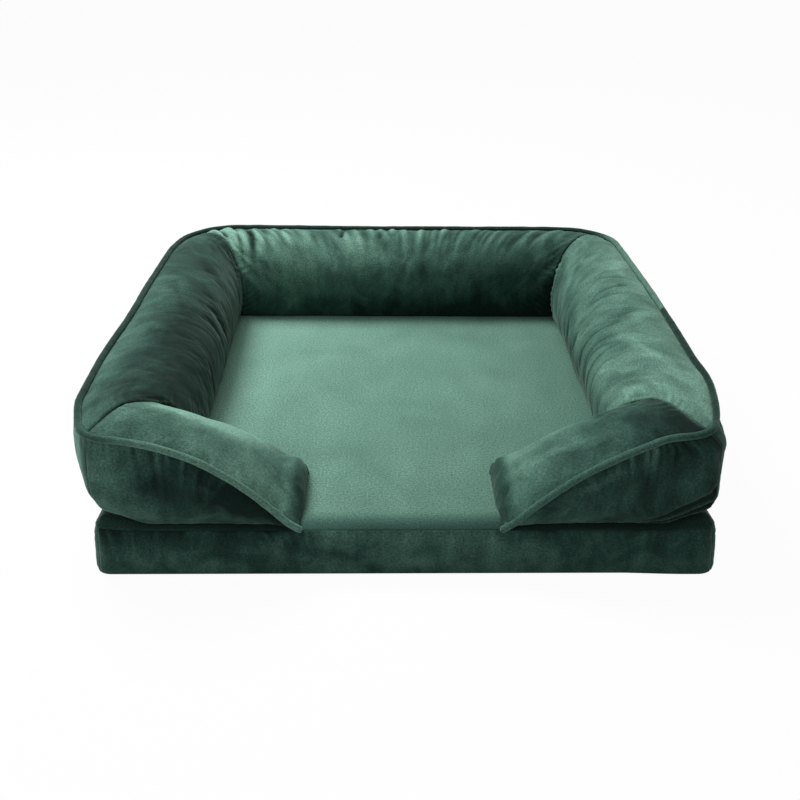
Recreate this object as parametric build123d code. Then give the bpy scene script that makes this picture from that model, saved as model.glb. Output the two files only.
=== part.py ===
from build123d import *
import math
import os

# Square sofa-style dog bed: a foam mattress in a zipped velvet cover, with a stuffed
# bolster sewn round three sides and two front wings that fall away to a low entrance.
# Millimetres. X is across the bed, +Y is towards the back, +Z is up.
# The origin is on the floor, under the middle of the bed's overall length and width.

# Mattress
bed_width = 910.0
bed_depth = 890.0
mattress_height = 80.0
fabric = 2.0
mattress_corner_radius = 18.0
edge_seam_drop = 5.0
edge_seam_bevel = 1.5
foam_ease = 0.3
foam_rear_ease = 6.0

# Bolster footprint, measured inwards from the edge of the mattress
side_bolster_width = 120.0
rear_bolster_width = 112.0
wing_width = 160.0
entrance_width = 292.0

# Bolster heights above the mattress
foot_height = 22.0
rail_rise = 152.0
crown_rise = 163.0
wing_tip_rise = 10.0
wing_end_rise = 34.0
seat_gap = 0.3
seam_gap = 0.4

# Bolster swell, from the stuffing
side_overhang = 7.0
rear_end_overhang = -3.0
side_bow = 6.0
rear_overhang = 6.0
rear_dip = 8.0
wing_overhang = 4.0
outer_bulge = 8.0
inner_bulge = 10.0
crown_bow = 3.0
front_corner_round = 42.0
rear_corner_round = 92.0

# Places on a cross-section, as shares of its width or its height
crown_place_share = 0.42
shoulder_height_share = 0.58
outer_bulge_height_share = 0.55

# Where the cross-sections stand, as shares of the way along a section
side_shares = (0.03, 0.08, 0.22, 0.42, 0.64, 0.82, 0.9, 0.955)
rear_shares = (0.045, 0.1, 0.2, 0.35, 0.5, 0.65, 0.8, 0.9, 0.955)
wing_shares = (0.08, 0.18, 0.34, 0.5, 0.64, 0.77, 0.88, 0.96, 1.0)
insert_end_share = 0.96
rear_half_share = 0.5

# How many narrow flat strips each arc of a cross-section is drawn with
outer_strip_count = 5
top_strip_count = 11
inner_strip_count = 4
piping_side_count = 12
cord_side_count = 8

# How the wings fall: the crown sinks away early, the front seam later and down to the tip
rail_fall_power = 2.3
crown_fall_power = 1.6
crown_close_power = 1.25

# Stuffed inserts, and the piping in the welted seam
insert_ease = 5.0
piping_radius = 5.0
piping_cord_radius = 3.2
piping_cord_ease = 0.3
piping_gap = 1.3

# Zips: moulded teeth, one zip in the mattress and one in the foot of the rear bolster
base_zip_length = 640.0
bolster_zip_length = 320.0
base_tape_width = 14.0
bolster_tape_width = 7.0
tape_thickness = 0.8
tape_ease = 0.3
tape_tail = 12.0
tooth_pitch = 4.2
tooth_length = 1.9
tooth_tip_length = 1.5
tooth_thickness = 2.8
tooth_reach = 1.0
tooth_root = 3.7
stop_length = 4.0
stop_gap = 0.5

# Zip slider
slider_length = 17.0
slider_rear_width = 12.6
slider_front_width = 15.0
slider_plate = 1.2
slider_flange = 1.1
slider_ease = 0.25
slider_corner = 1.2
window_ease = 0.25
wedge_length = 4.5
wedge_width = 4.0
crown_span = 10.0
crown_height = 4.4
crown_strap = 1.1
crown_width = 2.6

# Zip pull
pull_bar_radius = 0.8
pull_bar_gap = 0.3
pull_arm_width = 1.5
pull_arm_length = 7.2
pull_side_gap = 0.4
pull_length = 34.0
pull_width = 8.0
pull_tip_radius = 3.4
pull_hole_radius = 1.6
pull_hole_inset = 4.4
grip_depth = 0.3
grip_width = 1.5
grip_pitch = 3.0
grip_count = 4

overrun = 5.0
outline_tolerance = 1e-6
mitre_gap = seam_gap / math.sqrt(2)
half_width = bed_width / 2
half_depth = bed_depth / 2
seat = mattress_height + seat_gap
rail_height = mattress_height + rail_rise
top_height = mattress_height + crown_rise
zip_window = slider_front_width + 2 * window_ease
tape_plane = half_depth - fabric - tape_ease - tape_thickness / 2
base_zip_height = mattress_height / 2
bolster_zip_height = seat + foot_height / 2
zip_end_room = slider_length + stop_length + 2 * stop_gap
parts = {}


def slab_above(height):
    """Everything above a height, as a block wider than the bed."""
    return Pos(0, 0, height + bed_width) * Box(2 * bed_width, 2 * bed_width, 2 * bed_width)


def upright_block(width, depth, height, corner, bottom):
    """A block with rounded upright corners, centred on the bed, standing at a height."""
    return Pos(0, 0, bottom) * extrude(RectangleRounded(width, depth, corner), height)


def zip_opening(length, height):
    """The slot that the teeth show through, in the rear wall."""
    return Pos(0, half_depth, height) * Box(length + 2 * zip_end_room, 4 * fabric, zip_window)


# Mattress


def mattress_cover():
    """A boxed cover: top and bottom panels turned down to a seam, and walls between."""
    outer = upright_block(bed_width, bed_depth, mattress_height, mattress_corner_radius, 0)
    outer = chamfer(outer.faces().sort_by(Axis.Z)[0].edges(), edge_seam_bevel)
    outer = chamfer(outer.faces().sort_by(Axis.Z)[-1].edges(), edge_seam_bevel)
    inner = upright_block(
        bed_width - 2 * fabric,
        bed_depth - 2 * fabric,
        mattress_height - 2 * fabric,
        mattress_corner_radius - fabric,
        fabric,
    )
    shell = outer - inner
    above_top_seam = slab_above(mattress_height - edge_seam_drop)
    above_bottom_seam = slab_above(edge_seam_drop)
    walls = (shell & above_bottom_seam) - above_top_seam
    parts["mattress_top_panel"] = shell & above_top_seam
    parts["non_slip_bottom_panel"] = shell - above_bottom_seam
    for side in ("front", "left", "right"):
        parts[side + "_boxing"] = walls & corner_wedge(side, overrun, mattress_corner_radius)
    rear = walls & corner_wedge("rear", overrun, mattress_corner_radius)
    rear -= zip_opening(base_zip_length, base_zip_height)
    above_zip = slab_above(base_zip_height)
    parts["rear_boxing_upper"] = rear & above_zip
    parts["rear_boxing_lower"] = rear - above_zip


def corner_wedge(side, outwards, inwards):
    """The region of one side of the bed, between the lines that split its corners."""
    outer_x, outer_y = half_width + outwards, half_depth + outwards
    inner_x, inner_y = half_width - inwards, half_depth - inwards
    ends = {
        "front": ((-1, -1), (1, -1)),
        "right": ((1, -1), (1, 1)),
        "rear": ((1, 1), (-1, 1)),
        "left": ((-1, 1), (-1, -1)),
    }[side]
    outline = [(x * outer_x, y * outer_y) for x, y in ends]
    outline += [(x * inner_x, y * inner_y) for x, y in reversed(ends)]
    return extrude(make_face(Polyline(*outline, close=True)), 2 * mattress_height)


def foam_slab():
    gap = fabric + foam_ease
    rear_gap = fabric + foam_rear_ease
    block = upright_block(
        bed_width - 2 * gap,
        bed_depth - gap - rear_gap,
        mattress_height - 2 * fabric,
        mattress_corner_radius - gap,
        fabric,
    )
    parts["foam_slab"] = Pos(0, (gap - rear_gap) / 2, 0) * block


# Bolster. A section is lofted through upright cross-sections. Each stands on the line
# from a point of the mattress edge to a point of the inner seam.


class Station:
    """One upright cross-section: where it stands, and how high and full it is.

    It stands on the line from the inner seam straight out to an aim point. The outer foot
    is where that line meets the mattress edge, and the rail where it meets a wider outline
    with rounder corners. Where the crown falls steeply, the cut through the cloth is thicker
    than the cloth, and steep says by how much.
    """

    def __init__(self, inner, aim, outline, rail=rail_height, crown=top_height, steep=1.0):
        self.inner = Vector(*inner)
        self.inward = (self.inner - Vector(*aim)).normalized()
        self.width = self.run_to((half_width, half_depth, mattress_corner_radius))
        self.overhang = self.run_to(outline) - self.width
        self.shape = (aim, outline, rail, crown, steep)
        self.rail = rail
        self.crown = crown
        self.outer_fullness = (rail - mattress_height) / rail_rise
        self.inner_fullness = (crown - mattress_height) / crown_rise
        self.foot = foot_height * self.outer_fullness
        self.wall = fabric * steep

    def run_to(self, outline):
        """How far out from the inner seam the line crosses a rounded rectangle."""
        near, far = 0.0, side_bolster_width + wing_width
        while far - near > outline_tolerance:
            middle = (near + far) / 2
            if outside(self.inner - self.inward * middle, *outline):
                far = middle
            else:
                near = middle
        return near

    def at(self, inwards, height):
        place = self.inner + self.inward * (inwards - self.width)
        return Vector(place.X, place.Y, height)

    def moved(self, x, y):
        """The same cross-section a little further along, clear of the next section."""
        aim, *rest = self.shape
        return Station((self.inner.X + x, self.inner.Y + y), (aim[0] + x, aim[1] + y), *rest)


def outside(place, half_x, half_y, corner):
    """Whether a place lies outside a rounded rectangle centred on the bed."""
    x = max(abs(place.X) - half_x + corner, 0)
    y = max(abs(place.Y) - half_y + corner, 0)
    return math.hypot(x, y) > corner


def chords(arc, count):
    """Points along an arc. The cloth is drawn as that many narrow flat strips."""
    return [arc @ (i / count) for i in range(count + 1)]


def outer_points(station, inset):
    """From the foot seam up to the welted seam: a straight foot, then a bulging arc."""
    knee = station.at(inset, seat + station.foot)
    top = station.rail - seam_gap / 2
    bulge = station.overhang / 2 + outer_bulge * station.outer_fullness
    side = station.at(inset - bulge, between(knee.Z, top, outer_bulge_height_share))
    arc = ThreePointArc(knee, side, station.at(inset - station.overhang, top))
    return [station.at(inset, seat)] + chords(arc, outer_strip_count)


def top_points(station, inset, rim):
    """From the welted seam over the crown, then down to the inner seam, as two arcs."""
    rise = station.crown - seat
    shoulder_place = station.width + inner_bulge * station.inner_fullness - inset
    start = station.at(inset - station.overhang, station.rail + rim)
    crown = station.at(station.width * crown_place_share, station.crown - inset)
    shoulder = station.at(shoulder_place, seat + rise * shoulder_height_share)
    over = ThreePointArc(start, crown, shoulder)
    inner_seam = station.at(station.width - inset, seat)
    down = TangentArc(shoulder, inner_seam, tangent=over % 1)
    return chords(over, top_strip_count) + chords(down, inner_strip_count)[1:]


def outline_face(points):
    return Face(Wire.make_polygon(points, close=True))


def facet_loft(outlines):
    """A loft over a row of outlines, its twisted strips split into flat triangles."""
    faces = [outline_face(outlines[0]), outline_face(outlines[-1])]
    for near, far in zip(outlines, outlines[1:]):
        for i in range(len(near)):
            faces.append(outline_face([near[i - 1], near[i], far[i]]))
            faces.append(outline_face([near[i - 1], far[i], far[i - 1]]))
    return Solid(Shell(faces))


def outer_cloth(station):
    return outer_points(station, 0) + outer_points(station, fabric)[::-1]


def top_cloth(station):
    rim = seam_gap / 2
    return top_points(station, 0, rim) + top_points(station, station.wall, rim)[::-1]


def insert_profile(station):
    """The stuffed insert: the same form held off the covers, flat where it rests."""
    wall = fabric + insert_ease
    outer = outer_points(station, wall)
    outer[0] = station.at(wall, seat + seat_gap)
    top = top_points(station, wall, -insert_ease)
    top[-1] = Vector(top[-1].X, top[-1].Y, seat + seat_gap)
    outer[-1] = Vector(outer[-1].X, outer[-1].Y, station.rail - insert_ease)
    return outer + top[1:]


def between(start, end, share):
    return start + (end - start) * share


def rail_outline(x_overhang, y_overhang, corner):
    return half_width + x_overhang, half_depth + y_overhang, corner


def front_mitre():
    """Where a wing and a side are sewn together, from the inner corner to the outer one."""
    inner = (side_bolster_width - half_width, wing_width - half_depth)
    outline = rail_outline(side_overhang, wing_overhang, front_corner_round)
    return Station(inner, (-half_width - side_overhang, -half_depth - wing_overhang), outline)


def rear_mitre(side=-1):
    """Where a side and the back are sewn together."""
    inner = (side * (half_width - side_bolster_width), half_depth - rear_bolster_width)
    aim = (side * (half_width + rear_end_overhang), half_depth + rear_overhang)
    return Station(inner, aim, rail_outline(rear_end_overhang, rear_overhang, rear_corner_round))


def side_stations():
    """Along the left side, from the front corner to the rear corner."""
    stations = [front_mitre().moved(0, mitre_gap)]
    for share in side_shares:
        bow = math.sin(math.pi * share)
        overhang = between(side_overhang, rear_end_overhang, share) + side_bow * bow
        inner_y = between(wing_width - half_depth, half_depth - rear_bolster_width, share)
        aim_y = between(-half_depth - wing_overhang, half_depth + rear_overhang, share)
        front_half = share < rear_half_share
        corner = front_corner_round if front_half else rear_corner_round
        outline = rail_outline(overhang, wing_overhang if front_half else rear_overhang, corner)
        crown = top_height + crown_bow * bow
        inner = (side_bolster_width - half_width, inner_y)
        stations.append(Station(inner, (-half_width - overhang, aim_y), outline, crown=crown))
    return stations + [rear_mitre().moved(0, -mitre_gap)]


def rear_stations():
    """Along the back, from the left corner to the right corner."""
    stations = [rear_mitre(-1).moved(mitre_gap, 0)]
    for share in rear_shares:
        bow = math.sin(math.pi * share)
        overhang = rear_overhang - rear_dip * bow
        inner_x = (2 * share - 1) * (half_width - side_bolster_width)
        aim = ((2 * share - 1) * (half_width + rear_end_overhang), half_depth + overhang)
        outline = rail_outline(rear_end_overhang, overhang, rear_corner_round)
        crown = top_height + crown_bow * bow
        inner = (inner_x, half_depth - rear_bolster_width)
        stations.append(Station(inner, aim, outline, crown=crown))
    return stations + [rear_mitre(1).moved(-mitre_gap, 0)]


def wing_crown(share):
    return between(wing_end_rise, crown_rise, (1 - share**crown_fall_power) ** crown_close_power)


def wing_stations():
    """Along the left wing, from the front corner to the end wall at the entrance."""
    stations = [front_mitre().moved(mitre_gap, 0)]
    tip = entrance_width / 2 + fabric
    length = half_width - tip
    before = 0.0
    for share in wing_shares:
        fall = 1 - share**rail_fall_power
        slope = (wing_crown(before) - wing_crown(share)) / ((share - before) * length)
        aim = (between(-half_width - side_overhang, -tip, share), -half_depth - wing_overhang)
        inner = (between(side_bolster_width - half_width, -tip, share), wing_width - half_depth)
        outline = rail_outline(side_overhang, wing_overhang * fall, front_corner_round)
        rail = mattress_height + between(wing_tip_rise, rail_rise, fall)
        crown = mattress_height + wing_crown(share)
        stations.append(Station(inner, aim, outline, rail, crown, steep=math.hypot(1, slope)))
        before = share
    return stations


def section(profile, stations):
    return facet_loft([profile(station) for station in stations])


def insert(stations):
    """An insert is plainer than its covers: it skips every other cross-section."""
    return section(insert_profile, stations[:-1:2] + stations[-1:])


def wing_end_wall(station):
    """The top panel turns down here and is sewn to the mattress across the wing's end."""
    face = outline_face(outer_points(station, 0) + top_points(station, 0, seam_gap / 2))
    return extrude(face, fabric, dir=(1, 0, 0))


def bolster():
    side, rear, wing = side_stations(), rear_stations(), wing_stations()
    insert_end = wing_shares.index(insert_end_share) + 2
    left = {
        "wing_front_panel": section(outer_cloth, wing),
        "wing_top_panel": section(top_cloth, wing) + wing_end_wall(wing[-1]),
        "wing_insert": insert(wing[:insert_end]),
        "bolster_outer_panel": section(outer_cloth, side),
        "bolster_top_panel": section(top_cloth, side),
        "bolster_insert": insert(side),
    }
    for name, shape in left.items():
        parts["left_" + name] = shape
        parts["right_" + name] = mirror(shape, about=Plane.YZ)
    above_band = slab_above(seat + foot_height + seam_gap)
    parts["rear_bolster_outer_panel"] = section(outer_cloth, rear) & above_band
    parts["rear_bolster_top_panel"] = section(top_cloth, rear)
    parts["rear_bolster_insert"] = insert(rear)
    piping(side, rear, wing)


def rear_foot_band():
    """The flat strip at the foot of the rear bolster, with the bolster's zip in it."""
    ring = upright_block(bed_width, bed_depth, foot_height, mattress_corner_radius, seat)
    ring -= upright_block(
        bed_width - 2 * fabric,
        bed_depth - 2 * fabric,
        foot_height,
        mattress_corner_radius - fabric,
        seat,
    )
    left = rear_mitre()
    start = left.at(-overrun, 0) + Vector(mitre_gap, 0)
    end = left.at(mattress_corner_radius, 0) + Vector(mitre_gap, 0)
    outline = [(start.X, start.Y), (-start.X, start.Y), (-end.X, end.Y), (end.X, end.Y)]
    wedge = extrude(make_face(Polyline(*outline, close=True)), 2 * mattress_height)
    parts["rear_foot_band"] = (ring & wedge) - zip_opening(bolster_zip_length, bolster_zip_height)


def piping(side, rear, wing):
    """A cord in a velvet sleeve, sewn in along the welted seam and down both wings."""
    reach = (piping_radius + piping_gap) / math.sqrt(2)

    def place(station):
        return station.at(-station.overhang - reach, station.rail + reach)

    left = [place(s) for s in reversed(wing[1:])]
    left += [place(front_mitre())] + [place(s) for s in side[1:-1]] + [place(rear_mitre())]
    back = [place(s) for s in rear[1:-1]]
    right = [Vector(-p.X, p.Y, p.Z) for p in reversed(left)]
    points = left + back + right
    runs = [(b - a).normalized() for a, b in zip(points, points[1:])]
    tangents = [runs[0]] + [a + b for a, b in zip(runs, runs[1:])] + [runs[-1]]
    planes = [Plane(p, x_dir=t.cross(Vector(0, 0, 1)), z_dir=t) for p, t in zip(points, tangents)]

    def tube(radius, sides):
        turns = [2 * math.pi * i / sides for i in range(sides)]
        ring = [Vector(radius * math.cos(turn), radius * math.sin(turn)) for turn in turns]
        return facet_loft([[plane.from_local_coords(place) for place in ring] for plane in planes])

    bore = tube(piping_cord_radius + piping_cord_ease, cord_side_count)
    parts["piping_sleeve"] = tube(piping_radius, piping_side_count) - bore
    parts["piping_cord"] = tube(piping_cord_radius, cord_side_count)
    length = sum((b - a).length for a, b in zip(points, points[1:]))
    print("piping length", round(length))


# Zips. Each is built round its own middle: X along the zip, Y out of the bed, Z up

plate_inside = tooth_thickness / 2 + slider_ease
plate_outside = plate_inside + slider_plate


def zip_tape(length, width, side):
    tape = Box(length + 2 * (zip_end_room + tape_tail), tape_thickness, width)
    return Pos(0, 0, side * (tooth_root + width / 2)) * tape


def zip_teeth(length, side):
    """One row. The other row stands half a pitch along, so that the two rows mesh."""
    count = int(length / tooth_pitch)
    start = (tooth_length - length) / 2 + (0 if side > 0 else tooth_pitch / 2)
    half_root, half_tip = tooth_length / 2, tooth_tip_length / 2
    outline = Polyline(
        (-half_root, side * tooth_root),
        (half_root, side * tooth_root),
        (half_tip, -side * tooth_reach),
        (-half_tip, -side * tooth_reach),
        close=True,
    )
    tooth = extrude(Plane.XZ * make_face(outline), tooth_thickness / 2, both=True)
    return Compound([Pos(start + i * tooth_pitch, 0, 0) * tooth for i in range(count)])


def zip_stops(length):
    """A pair of top stops where the slider rests, and one bottom stop at the far end."""
    top = Box(stop_length, tooth_thickness, tooth_root - tooth_reach)
    bottom = Box(stop_length, tooth_thickness, 2 * tooth_root)
    middle = (tooth_root + tooth_reach) / 2
    top_place = length / 2 + slider_length + stop_gap + stop_length / 2
    tops = [Pos(top_place, 0, side * middle) * top for side in (1, -1)]
    return Compound(tops + [Pos(-length / 2 - stop_gap - stop_length / 2, 0, 0) * bottom])


def slider_outline(inset):
    """The slider's plate: wide at the mouth, where the rows part, and narrow behind."""
    half = slider_length / 2
    rear, front = slider_rear_width / 2 - inset, slider_front_width / 2 - inset
    low = [(-half, -rear), (0, -rear), (half - wedge_length, -front), (half, -front)]
    return make_face(Polyline(*low, *[(x, -y) for x, y in reversed(low)], close=True))


def zip_slider():
    """Two plates joined by a wedge, with flanges round the teeth and a crown on top."""
    half = slider_length / 2
    plate = chamfer(slider_outline(0).vertices(), slider_corner)
    block = extrude(Plane.XZ * plate, plate_outside, both=True)
    channel = extrude(Plane.XZ * slider_outline(slider_flange), plate_inside, both=True)
    through = Box(slider_length + overrun, 2 * plate_inside, slider_rear_width - 2 * slider_flange)
    tape_slot = Box(slider_length + overrun, tape_thickness + 2 * slider_ease, 2 * slider_front_width)
    wedge_points = ((half - wedge_length, 0), (half, wedge_width / 2), (half, -wedge_width / 2))
    wedge_face = Plane.XZ * make_face(Polyline(*wedge_points, close=True))
    wedge = extrude(wedge_face, plate_outside, both=True)
    return block - channel - through - tape_slot + wedge + slider_crown()


def slider_crown():
    """The arched strap that the pull hangs on."""
    half = crown_span / 2
    top = EllipticalCenterArc((0, 0), half, crown_height, 0, arc_size=180)
    under_height = crown_height - crown_strap
    under = EllipticalCenterArc((0, 0), half - crown_strap, under_height, 0, arc_size=180)
    feet = [Line(top @ 1, under @ 1), Line(under @ 0, top @ 0)]
    strap = Face(Wire([top, under] + feet))
    return Pos(0, plate_outside, 0) * extrude(strap, crown_width / 2, both=True)


def zip_pull():
    """The tab lies back along the zip. Its bar turns under the slider's crown."""
    arm_place = crown_width / 2 + pull_side_gap + pull_arm_width / 2
    bar = Cylinder(pull_bar_radius, 2 * arm_place + pull_arm_width)
    arm = Box(pull_arm_length, 2 * pull_bar_radius, pull_arm_width)
    tab = Box(pull_length, 2 * pull_bar_radius, pull_width)
    tab = fillet(tab.edges().filter_by(Axis.Y), pull_tip_radius)
    hole = Rot(90, 0, 0) * Cylinder(pull_hole_radius, 4 * pull_bar_radius)
    tab -= Pos(pull_hole_inset - pull_length / 2, 0, 0) * hole
    groove = Box(grip_width, grip_depth, pull_width - 4 * grip_depth)
    for i in range(grip_count):
        along = grip_pitch * (i - (grip_count - 1) / 2)
        tab -= Pos(along, pull_bar_radius - grip_depth / 2, 0) * groove
    body = bar + Pos(-pull_arm_length - pull_length / 2 + pull_arm_width, 0, 0) * tab
    for side in (1, -1):
        body += Pos(-pull_arm_length / 2, 0, side * arm_place) * arm
    return Pos(0, plate_outside + pull_bar_gap + pull_bar_radius, 0) * body


def zip_fastener(name, length, width, height):
    place = Pos(0, tape_plane, height)
    closed = Pos((length + slider_length) / 2, tape_plane, height)
    parts[name + "_tape_upper"] = place * zip_tape(length, width, 1)
    parts[name + "_tape_lower"] = place * zip_tape(length, width, -1)
    parts[name + "_teeth_upper"] = place * zip_teeth(length, 1)
    parts[name + "_teeth_lower"] = place * zip_teeth(length, -1)
    parts[name + "_end_stops"] = place * zip_stops(length)
    parts[name + "_slider"] = closed * zip_slider()
    parts[name + "_pull"] = closed * zip_pull()


mattress_cover()
foam_slab()
bolster()
rear_foot_band()
zip_fastener("base_zip", base_zip_length, base_tape_width, base_zip_height)
zip_fastener("bolster_zip", bolster_zip_length, bolster_tape_width, bolster_zip_height)

box = Compound([solid for shape in parts.values() for solid in shape.solids()]).bounding_box()
centre = Pos(-box.center().X, -box.center().Y, 0)
print("bed", box.size, "moved", -box.center().X, -box.center().Y)
os.makedirs("parts", exist_ok=True)
for node, shape in parts.items():
    export_step(centre * Compound(shape.solids()), "parts/" + node + ".step")
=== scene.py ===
import math

import bmesh
import bpy
from mathutils import Matrix, Vector, noise


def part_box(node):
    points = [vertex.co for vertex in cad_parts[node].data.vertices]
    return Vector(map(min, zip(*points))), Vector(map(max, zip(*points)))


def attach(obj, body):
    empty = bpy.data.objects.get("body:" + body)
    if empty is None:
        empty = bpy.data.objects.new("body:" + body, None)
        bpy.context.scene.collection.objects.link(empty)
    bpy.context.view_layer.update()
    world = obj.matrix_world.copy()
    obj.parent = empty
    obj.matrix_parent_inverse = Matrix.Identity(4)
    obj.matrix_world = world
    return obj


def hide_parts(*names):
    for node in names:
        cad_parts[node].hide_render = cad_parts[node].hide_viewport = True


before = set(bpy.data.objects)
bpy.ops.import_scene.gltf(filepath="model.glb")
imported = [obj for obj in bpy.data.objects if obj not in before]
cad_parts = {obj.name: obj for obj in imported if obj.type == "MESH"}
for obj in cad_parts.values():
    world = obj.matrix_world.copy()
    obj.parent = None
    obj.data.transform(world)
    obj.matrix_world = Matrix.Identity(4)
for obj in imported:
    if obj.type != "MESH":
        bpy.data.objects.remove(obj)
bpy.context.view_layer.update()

# Camera: the photograph's viewpoint, above and in front of the low entrance, a little
# to the left of its middle, with the bed seen from about 28 degrees above the floor.
camera_place = Vector((-0.0516, -1.6641, 0.9339))
look_down, turn_right, lean = 0.4855, 0.0306, 0.016
ahead = Vector((
    math.sin(turn_right) * math.cos(look_down),
    math.cos(turn_right) * math.cos(look_down),
    -math.sin(look_down),
))
level = Vector((math.cos(turn_right), -math.sin(turn_right), 0))
upright = level.cross(ahead)
camera_right = level * math.cos(lean) + upright * math.sin(lean)
camera_up = upright * math.cos(lean) - level * math.sin(lean)
camera_data = bpy.data.cameras.new("camera")
camera_data.lens = 45.73
camera = bpy.data.objects.new("camera", camera_data)
bpy.context.scene.collection.objects.link(camera)
turn = Matrix((camera_right, camera_up, -ahead)).transposed().to_4x4()
camera.matrix_world = Matrix.Translation(camera_place) @ turn
bpy.context.scene.camera = camera
bpy.context.scene.view_settings.view_transform = "Standard"

# Floor: a plain pale sheet that runs out of view. The camera sees it lifted to white, and
# the bed's own soft shadow stays on it.
floor_size, floor_grey, floor_glow = 14.0, 0.8, 0.96
white = (1, 1, 1, 1)


def feed(tree, node, sockets):
    """Sets a node's sockets, each to a value or to what another node gives."""
    for socket, source in sockets.items():
        if isinstance(source, bpy.types.NodeSocket):
            tree.links.new(source, node.inputs[socket])
        else:
            node.inputs[socket].default_value = source


def add_node(tree, kind, sockets=None, **settings):
    node = tree.nodes.new("ShaderNode" + kind)
    for setting, value in settings.items():
        setattr(node, setting, value)
    feed(tree, node, sockets or {})
    return node


def new_material(name):
    material = bpy.data.materials.new(name)
    material.use_nodes = True
    tree = material.node_tree
    return material, tree, tree.nodes["Principled BSDF"]


def new_piece(name, shape, material):
    """A finished mesh as an object at the origin, shaded smooth."""
    mesh = bpy.data.meshes.new(name)
    shape.to_mesh(mesh)
    shape.free()
    mesh.shade_smooth()
    mesh.materials.append(material)
    piece = bpy.data.objects.new(name, mesh)
    bpy.context.scene.collection.objects.link(piece)
    return piece


floor_material, tree, paint = new_material("floor_paint")
feed(tree, paint, {
    "Base Color": (floor_grey, floor_grey, floor_grey, 1),
    "Roughness": 0.9,
    "Specular IOR Level": 0.1,
})
glow = add_node(tree, "Emission", {"Color": white})
rays = add_node(tree, "LightPath").outputs
seen = add_node(tree, "Math", {0: rays["Is Camera Ray"], 1: floor_glow}, operation="MULTIPLY")
lifted = {"Fac": seen.outputs[0], 1: paint.outputs[0], 2: glow.outputs[0]}
mix = add_node(tree, "MixShader", lifted)
feed(tree, tree.nodes["Material Output"], {"Surface": mix.outputs[0]})
shape = bmesh.new()
bmesh.ops.create_grid(shape, x_segments=1, y_segments=1, size=floor_size)
new_piece("floor", shape, floor_material)


# Light: one broad soft lamp above and behind to the left, as in the photograph, with a
# weaker one overhead and one over the entrance, and a pale room that shows as white.
def soft_lamp(name, place, size, power):
    data = bpy.data.lights.new(name, "AREA")
    data.shape = "DISK"
    data.size = size
    data.energy = power
    lamp = bpy.data.objects.new(name, data)
    bpy.context.scene.collection.objects.link(lamp)
    bed_middle = Vector((0, 0, 0.1))
    aim = (bed_middle - Vector(place)).to_track_quat("-Z", "Y").to_matrix().to_4x4()
    lamp.matrix_world = Matrix.Translation(place) @ aim


soft_lamp("window", (-1.2, 1.0, 2.5), size=1.4, power=78)
soft_lamp("ceiling", (0.0, 0.3, 2.6), size=1.8, power=12)
soft_lamp("front", (-0.9, -2.4, 1.6), size=1.4, power=8)
world = bpy.data.worlds.new("room")
bpy.context.scene.world = world
world.use_nodes = True
tree = world.node_tree
room = tree.nodes["Background"]
feed(tree, room, {"Color": white, "Strength": 0.25})
backdrop = add_node(tree, "Background", {"Color": white, "Strength": 1.0})
rays = add_node(tree, "LightPath").outputs
seen = rays["Is Camera Ray"]
for ray in ("Is Glossy Ray", "Is Transmission Ray"):
    seen = add_node(tree, "Math", {0: seen, 1: rays[ray]}, operation="MAXIMUM").outputs[0]
mix = add_node(tree, "MixShader", {"Fac": seen, 1: room.outputs[0], 2: backdrop.outputs[0]})
feed(tree, tree.nodes["World Output"], {"Surface": mix.outputs[0]})


# Foam slab: a block of open-cell foam, cut square, that fills the mattress cover. It goes
# in through the zip at the back and lies loose, a little smaller than its room.
def speckle(tree, coordinates, scale, detail=2, distortion=0, stretch=(1, 1, 1)):
    """A noise on the given coordinates, with the scale in blotches to the metre."""
    mapping = add_node(tree, "Mapping", {"Vector": coordinates, "Scale": stretch})
    noise_sockets = {
        "Vector": mapping.outputs[0], "Scale": scale, "Detail": detail, "Distortion": distortion
    }
    return add_node(tree, "TexNoise", noise_sockets).outputs["Fac"]


def ramp(tree, value, *stops):
    """A colour ramp through (place, colour) stops."""
    node = add_node(tree, "ValToRGB", {"Fac": value})
    elements = node.color_ramp.elements
    elements[0].position, elements[-1].position = stops[0][0], stops[-1][0]
    elements[0].color, elements[-1].color = (*stops[0][1], 1), (*stops[-1][1], 1)
    for place, colour in stops[1:-1]:
        elements.new(place).color = (*colour, 1)
    return node.outputs["Color"]


def relief(tree, height, strength, distance, below=None):
    """A bump from a height pattern, on top of an earlier one if it is given."""
    sockets = {"Strength": strength, "Distance": distance, "Height": height}
    if below:
        sockets["Normal"] = below
    return add_node(tree, "Bump", sockets).outputs[0]


def plain_material(name, grain, shades, bump, roughness, metallic=0, coordinates="Object"):
    """A finish with one grain: it tints the colour between two shades and gives the relief.

    Grain is what speckle takes, and bump is the relief's strength and its depth in metres.
    """
    material, tree, shader = new_material(name)
    grains = speckle(tree, add_node(tree, "TexCoord").outputs[coordinates], *grain)
    feed(tree, shader, {
        "Base Color": ramp(tree, grains, *shades),
        "Normal": relief(tree, grains, *bump),
        "Roughness": roughness,
        "Metallic": metallic,
    })
    return material


def built_in(piece, stands_for=None):
    """Fixes a piece to the bed, in the place of a CAD node if it stands for one."""
    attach(piece, "bed")
    if stands_for:
        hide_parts(stands_for)


foam_low, foam_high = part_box("foam_slab")
foam_squeeze = Vector((0.008, 0.008, 0.003))
foam_corner, foam_edge = 0.014, 0.002


def rounded(shape, edges, radius, segments):
    bmesh.ops.bevel(
        shape, geom=edges, offset=radius, affect="EDGES", segments=segments, profile=0.5, material=-1
    )


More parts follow.
